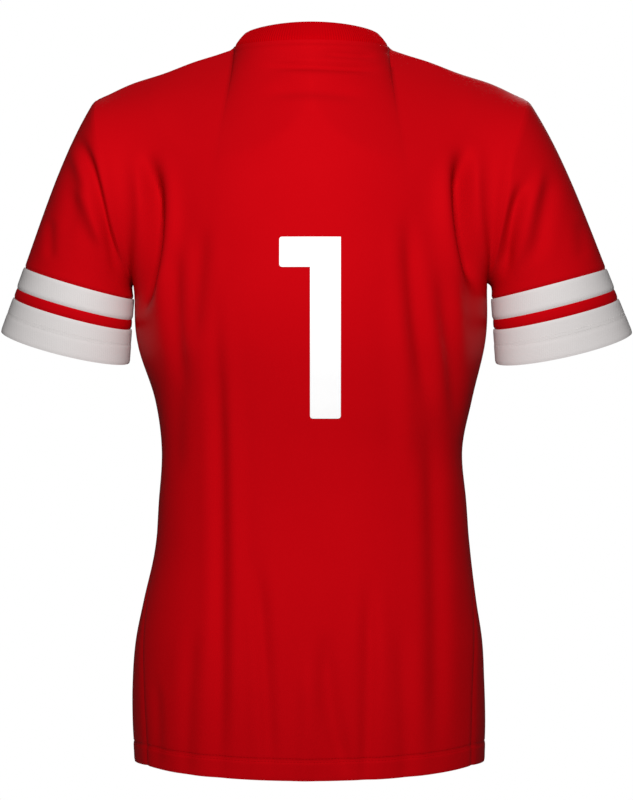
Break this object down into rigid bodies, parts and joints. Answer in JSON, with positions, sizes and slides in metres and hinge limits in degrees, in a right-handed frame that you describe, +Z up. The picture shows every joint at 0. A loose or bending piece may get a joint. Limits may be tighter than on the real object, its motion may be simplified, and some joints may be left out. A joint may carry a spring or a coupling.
{
  "type": "football jersey",
  "caption": "Short-sleeved knit football jersey in its worn, hollow shape, with a rib crew collar, banded cuffs and a plain numeral on the back.",
  "frame": {"origin": "midway between the two neck points, on the line where the shoulders carry the jersey", "axes": "+Z up, +Y to the wearer's front, +X to the wearer's right"},
  "size_m": [0.6168, 0.2467, 0.732],
  "materials": {
    "red_knit": "satin polyester knit",
    "red_rib": "matte rib knit",
    "white_knit": "polyester knit",
    "white_film": "smooth heat-applied film"
  },
  "bodies": {
    "root": {"back_panel": "red_knit", "front_panel": "red_knit", "sleeve_left": "red_knit", "sleeve_right": "red_knit", "stripe_left": "red_knit", "stripe_right": "red_knit", "band_left": "white_knit", "band_right": "white_knit", "cuff_left": "white_knit", "cuff_right": "white_knit", "collar": "red_rib", "number_one": "white_film"}
  },
  "joints": []
}
